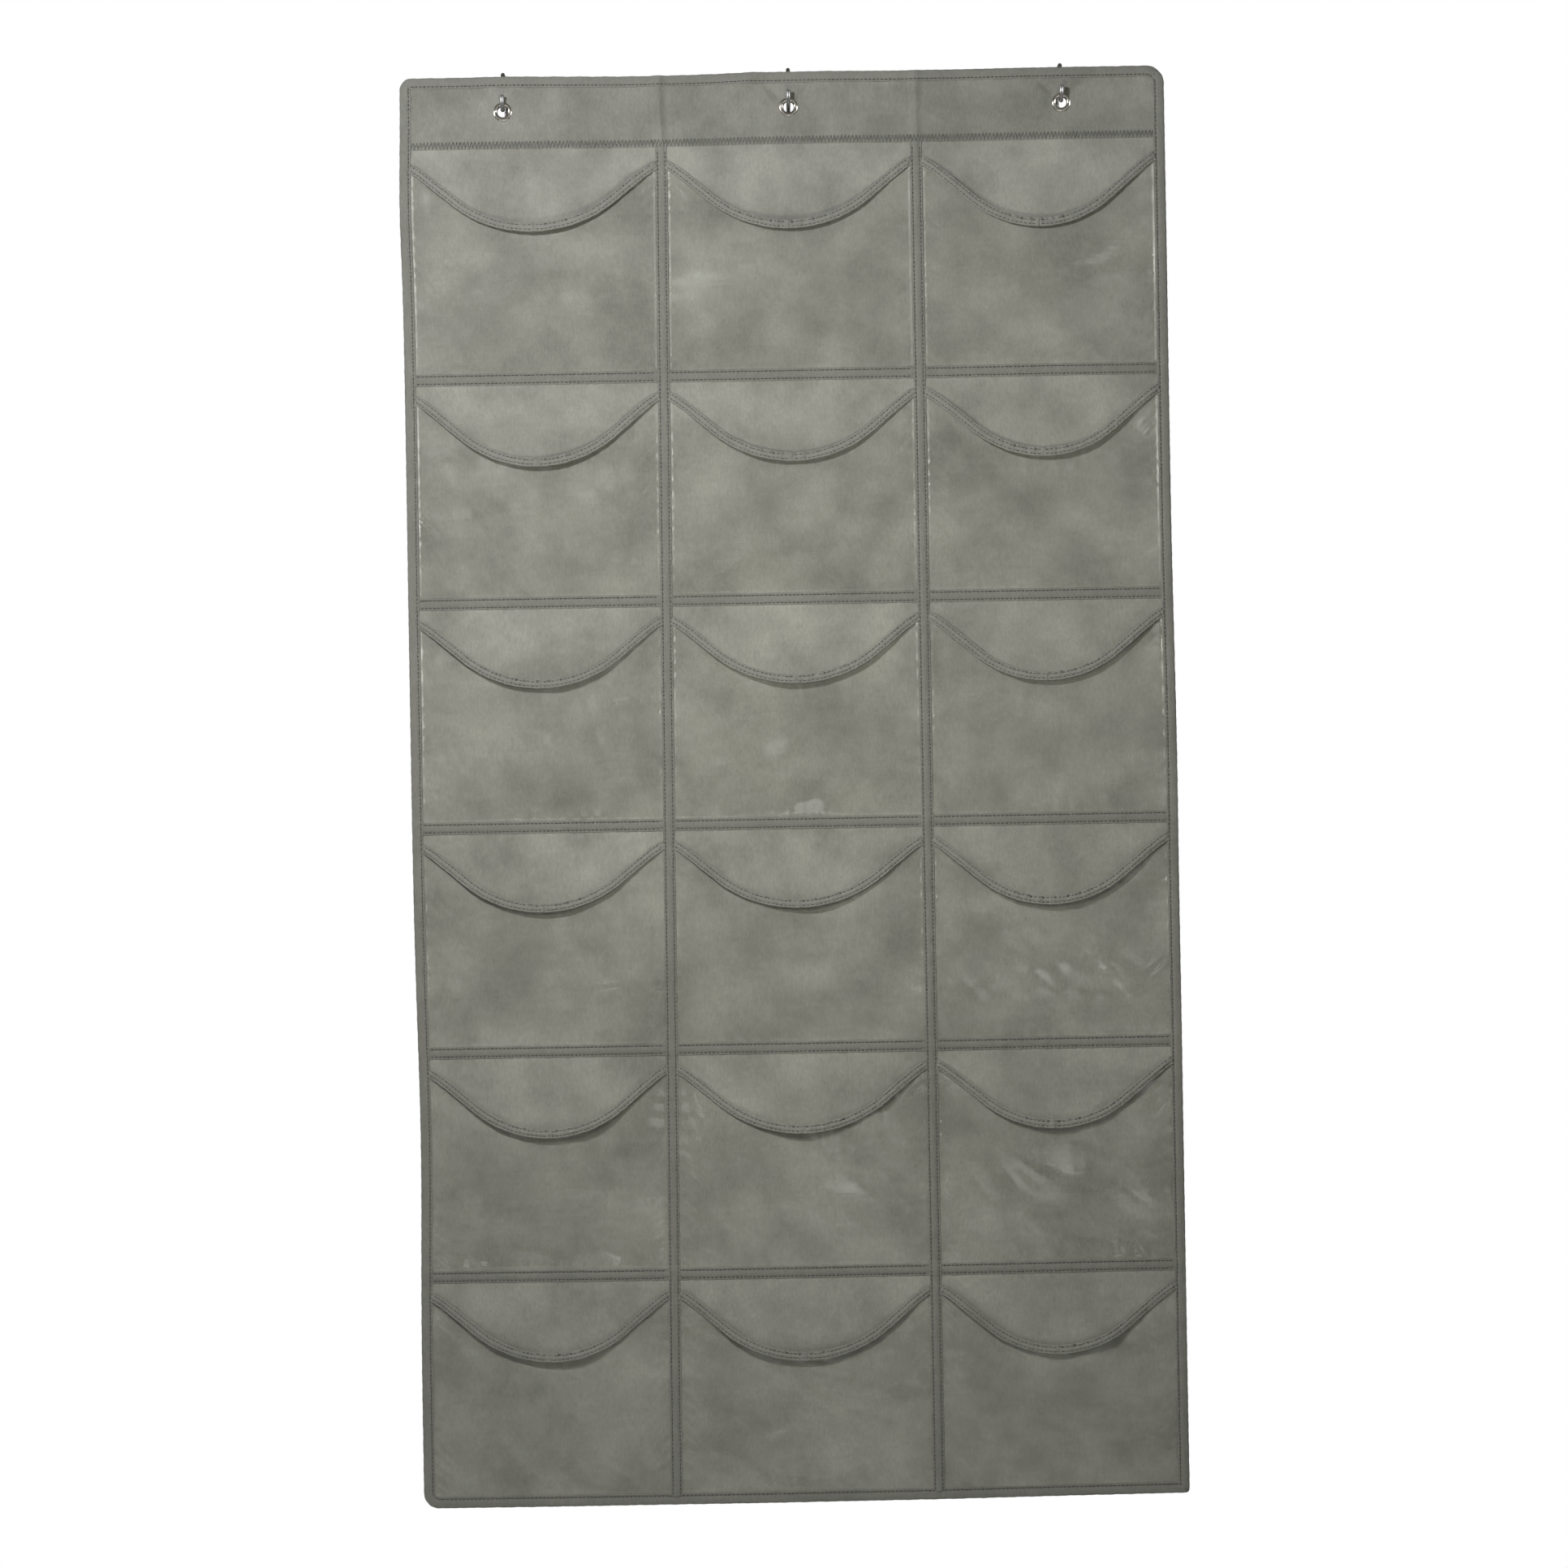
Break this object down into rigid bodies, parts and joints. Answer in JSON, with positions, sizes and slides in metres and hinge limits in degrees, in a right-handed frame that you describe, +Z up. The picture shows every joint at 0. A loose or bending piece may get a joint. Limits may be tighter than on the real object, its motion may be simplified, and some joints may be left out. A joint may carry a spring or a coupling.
{
  "type": "over-the-door shoe organizer",
  "caption": "Hanging over-the-door shoe organizer: a tall bound fabric panel with rows of clear film pockets with scooped mouths, an eyeletted header band and wire door hooks.",
  "frame": {"origin": "on the door's top front edge, at the centre hook: x = 0 is the hook's plane, y = 0 the door's front face and z = 0 the door's top", "axes": "+Z up, +X to the right as seen from the front, the pockets face -Y; the door lies below z = 0, from y = 0 to y = 0.04"},
  "size_m": [0.58, 0.0605, 1.0895],
  "materials": {
    "panel_fabric": "matt grey non-woven fabric, faintly mottled",
    "binding_tape": "matt darker grey folded tape with two rows of stitches",
    "clear_film": "clear soft plastic film, glossy, softly wrinkled",
    "nickel": "bright nickel plate",
    "hook_wire": "drawn steel wire, plated, satin"
  },
  "bodies": {
    "center_hook": {"center_hook": "hook_wire"},
    "panel": {"back_panel": "panel_fabric", "header_band": "panel_fabric", "bottom_binding": "binding_tape", "right_binding": "binding_tape", "top_binding": "binding_tape", "left_binding": "binding_tape", "left_column_tape": "binding_tape", "right_column_tape": "binding_tape", "row_tape_1": "binding_tape", "row_tape_2": "binding_tape", "row_tape_3": "binding_tape", "row_tape_4": "binding_tape", "row_tape_5": "binding_tape", "left_eyelet": "nickel", "center_eyelet": "nickel", "right_eyelet": "nickel", "left_washer": "nickel", "center_washer": "nickel", "right_washer": "nickel"},
    "left_hook": {"left_hook": "hook_wire"},
    "right_hook": {"right_hook": "hook_wire"},
    "pocket_r1_c1": {"pocket_film_r1_c1": "clear_film", "mouth_binding_r1_c1": "binding_tape"},
    "pocket_r1_c2": {"pocket_film_r1_c2": "clear_film", "mouth_binding_r1_c2": "binding_tape"},
    "pocket_r1_c3": {"pocket_film_r1_c3": "clear_film", "mouth_binding_r1_c3": "binding_tape"},
    "pocket_r2_c1": {"pocket_film_r2_c1": "clear_film", "mouth_binding_r2_c1": "binding_tape"},
    "pocket_r2_c2": {"pocket_film_r2_c2": "clear_film", "mouth_binding_r2_c2": "binding_tape"},
    "pocket_r2_c3": {"pocket_film_r2_c3": "clear_film", "mouth_binding_r2_c3": "binding_tape"},
    "pocket_r3_c1": {"pocket_film_r3_c1": "clear_film", "mouth_binding_r3_c1": "binding_tape"},
    "pocket_r3_c2": {"pocket_film_r3_c2": "clear_film", "mouth_binding_r3_c2": "binding_tape"},
    "pocket_r3_c3": {"pocket_film_r3_c3": "clear_film", "mouth_binding_r3_c3": "binding_tape"},
    "pocket_r4_c1": {"pocket_film_r4_c1": "clear_film", "mouth_binding_r4_c1": "binding_tape"},
    "pocket_r4_c2": {"pocket_film_r4_c2": "clear_film", "mouth_binding_r4_c2": "binding_tape"},
    "pocket_r4_c3": {"pocket_film_r4_c3": "clear_film", "mouth_binding_r4_c3": "binding_tape"},
    "pocket_r5_c1": {"pocket_film_r5_c1": "clear_film", "mouth_binding_r5_c1": "binding_tape"},
    "pocket_r5_c2": {"pocket_film_r5_c2": "clear_film", "mouth_binding_r5_c2": "binding_tape"},
    "pocket_r5_c3": {"pocket_film_r5_c3": "clear_film", "mouth_binding_r5_c3": "binding_tape"},
    "pocket_r6_c1": {"pocket_film_r6_c1": "clear_film", "mouth_binding_r6_c1": "binding_tape"},
    "pocket_r6_c2": {"pocket_film_r6_c2": "clear_film", "mouth_binding_r6_c2": "binding_tape"},
    "pocket_r6_c3": {"pocket_film_r6_c3": "clear_film", "mouth_binding_r6_c3": "binding_tape"}
  },
  "joints": [
    {"name": "panel_swing", "type": "hinge", "parent": "center_hook", "child": "panel", "pos_m": [0, -0.0084, -0.0269], "axis": [-1, 0, 0], "range_deg": [0, 8]},
    {"name": "left_hook_pivot", "type": "hinge", "parent": "panel", "child": "left_hook", "pos_m": [-0.217, -0.0084, -0.0269], "axis": [-1, 0, 0], "range_deg": [-8, 0]},
    {"name": "right_hook_pivot", "type": "hinge", "parent": "panel", "child": "right_hook", "pos_m": [0.207, -0.0084, -0.0269], "axis": [-1, 0, 0], "range_deg": [-8, 0]},
    {"name": "pocket_open_r1_c1", "type": "hinge", "parent": "panel", "child": "pocket_r1_c1", "pos_m": [-0.195, -0.0089, -0.22635], "axis": [1, 0, 0], "range_deg": [0, 10], "stiffness_Nm_per_rad": 0.06, "springref_deg": -2.86},
    {"name": "pocket_open_r1_c2", "type": "hinge", "parent": "panel", "child": "pocket_r1_c2", "pos_m": [-0.0015, -0.0089, -0.22635], "axis": [1, 0, 0], "range_deg": [0, 10], "stiffness_Nm_per_rad": 0.06, "springref_deg": -2.86},
    {"name": "pocket_open_r1_c3", "type": "hinge", "parent": "panel", "child": "pocket_r1_c3", "pos_m": [0.1885, -0.0089, -0.22635], "axis": [1, 0, 0], "range_deg": [0, 10], "stiffness_Nm_per_rad": 0.06, "springref_deg": -2.86},
    {"name": "pocket_open_r2_c1", "type": "hinge", "parent": "panel", "child": "pocket_r2_c1", "pos_m": [-0.195, -0.0089, -0.39655], "axis": [1, 0, 0], "range_deg": [0, 10], "stiffness_Nm_per_rad": 0.06, "springref_deg": -2.86},
    {"name": "pocket_open_r2_c2", "type": "hinge", "parent": "panel", "child": "pocket_r2_c2", "pos_m": [-0.0015, -0.0089, -0.39655], "axis": [1, 0, 0], "range_deg": [0, 10], "stiffness_Nm_per_rad": 0.06, "springref_deg": -2.86},
    {"name": "pocket_open_r2_c3", "type": "hinge", "parent": "panel", "child": "pocket_r2_c3", "pos_m": [0.1885, -0.0089, -0.39655], "axis": [1, 0, 0], "range_deg": [0, 10], "stiffness_Nm_per_rad": 0.06, "springref_deg": -2.86},
    {"name": "pocket_open_r3_c1", "type": "hinge", "parent": "panel", "child": "pocket_r3_c1", "pos_m": [-0.195, -0.0089, -0.56675], "axis": [1, 0, 0], "range_deg": [0, 10], "stiffness_Nm_per_rad": 0.06, "springref_deg": -2.86},
    {"name": "pocket_open_r3_c2", "type": "hinge", "parent": "panel", "child": "pocket_r3_c2", "pos_m": [-0.0015, -0.0089, -0.56675], "axis": [1, 0, 0], "range_deg": [0, 10], "stiffness_Nm_per_rad": 0.06, "springref_deg": -2.86},
    {"name": "pocket_open_r3_c3", "type": "hinge", "parent": "panel", "child": "pocket_r3_c3", "pos_m": [0.1885, -0.0089, -0.56675], "axis": [1, 0, 0], "range_deg": [0, 10], "stiffness_Nm_per_rad": 0.06, "springref_deg": -2.86},
    {"name": "pocket_open_r4_c1", "type": "hinge", "parent": "panel", "child": "pocket_r4_c1", "pos_m": [-0.195, -0.0089, -0.73695], "axis": [1, 0, 0], "range_deg": [0, 10], "stiffness_Nm_per_rad": 0.06, "springref_deg": -2.86},
    {"name": "pocket_open_r4_c2", "type": "hinge", "parent": "panel", "child": "pocket_r4_c2", "pos_m": [-0.0015, -0.0089, -0.73695], "axis": [1, 0, 0], "range_deg": [0, 10], "stiffness_Nm_per_rad": 0.06, "springref_deg": -2.86},
    {"name": "pocket_open_r4_c3", "type": "hinge", "parent": "panel", "child": "pocket_r4_c3", "pos_m": [0.1885, -0.0089, -0.73695], "axis": [1, 0, 0], "range_deg": [0, 10], "stiffness_Nm_per_rad": 0.06, "springref_deg": -2.86},
    {"name": "pocket_open_r5_c1", "type": "hinge", "parent": "panel", "child": "pocket_r5_c1", "pos_m": [-0.195, -0.0089, -0.90715], "axis": [1, 0, 0], "range_deg": [0, 10], "stiffness_Nm_per_rad": 0.06, "springref_deg": -2.86},
    {"name": "pocket_open_r5_c2", "type": "hinge", "parent": "panel", "child": "pocket_r5_c2", "pos_m": [-0.0015, -0.0089, -0.90715], "axis": [1, 0, 0], "range_deg": [0, 10], "stiffness_Nm_per_rad": 0.06, "springref_deg": -2.86},
    {"name": "pocket_open_r5_c3", "type": "hinge", "parent": "panel", "child": "pocket_r5_c3", "pos_m": [0.1885, -0.0089, -0.90715], "axis": [1, 0, 0], "range_deg": [0, 10], "stiffness_Nm_per_rad": 0.06, "springref_deg": -2.86},
    {"name": "pocket_open_r6_c1", "type": "hinge", "parent": "panel", "child": "pocket_r6_c1", "pos_m": [-0.195, -0.0089, -1.0777], "axis": [1, 0, 0], "range_deg": [0, 10], "stiffness_Nm_per_rad": 0.06, "springref_deg": -2.86},
    {"name": "pocket_open_r6_c2", "type": "hinge", "parent": "panel", "child": "pocket_r6_c2", "pos_m": [-0.0015, -0.0089, -1.0777], "axis": [1, 0, 0], "range_deg": [0, 10], "stiffness_Nm_per_rad": 0.06, "springref_deg": -2.86},
    {"name": "pocket_open_r6_c3", "type": "hinge", "parent": "panel", "child": "pocket_r6_c3", "pos_m": [0.1885, -0.0089, -1.0777], "axis": [1, 0, 0], "range_deg": [0, 10], "stiffness_Nm_per_rad": 0.06, "springref_deg": -2.86}
  ],
  "couplings": [
    {"joint": "left_hook_pivot", "follows": "panel_swing", "ratio": -1},
    {"joint": "right_hook_pivot", "follows": "panel_swing", "ratio": -1}
  ]
}
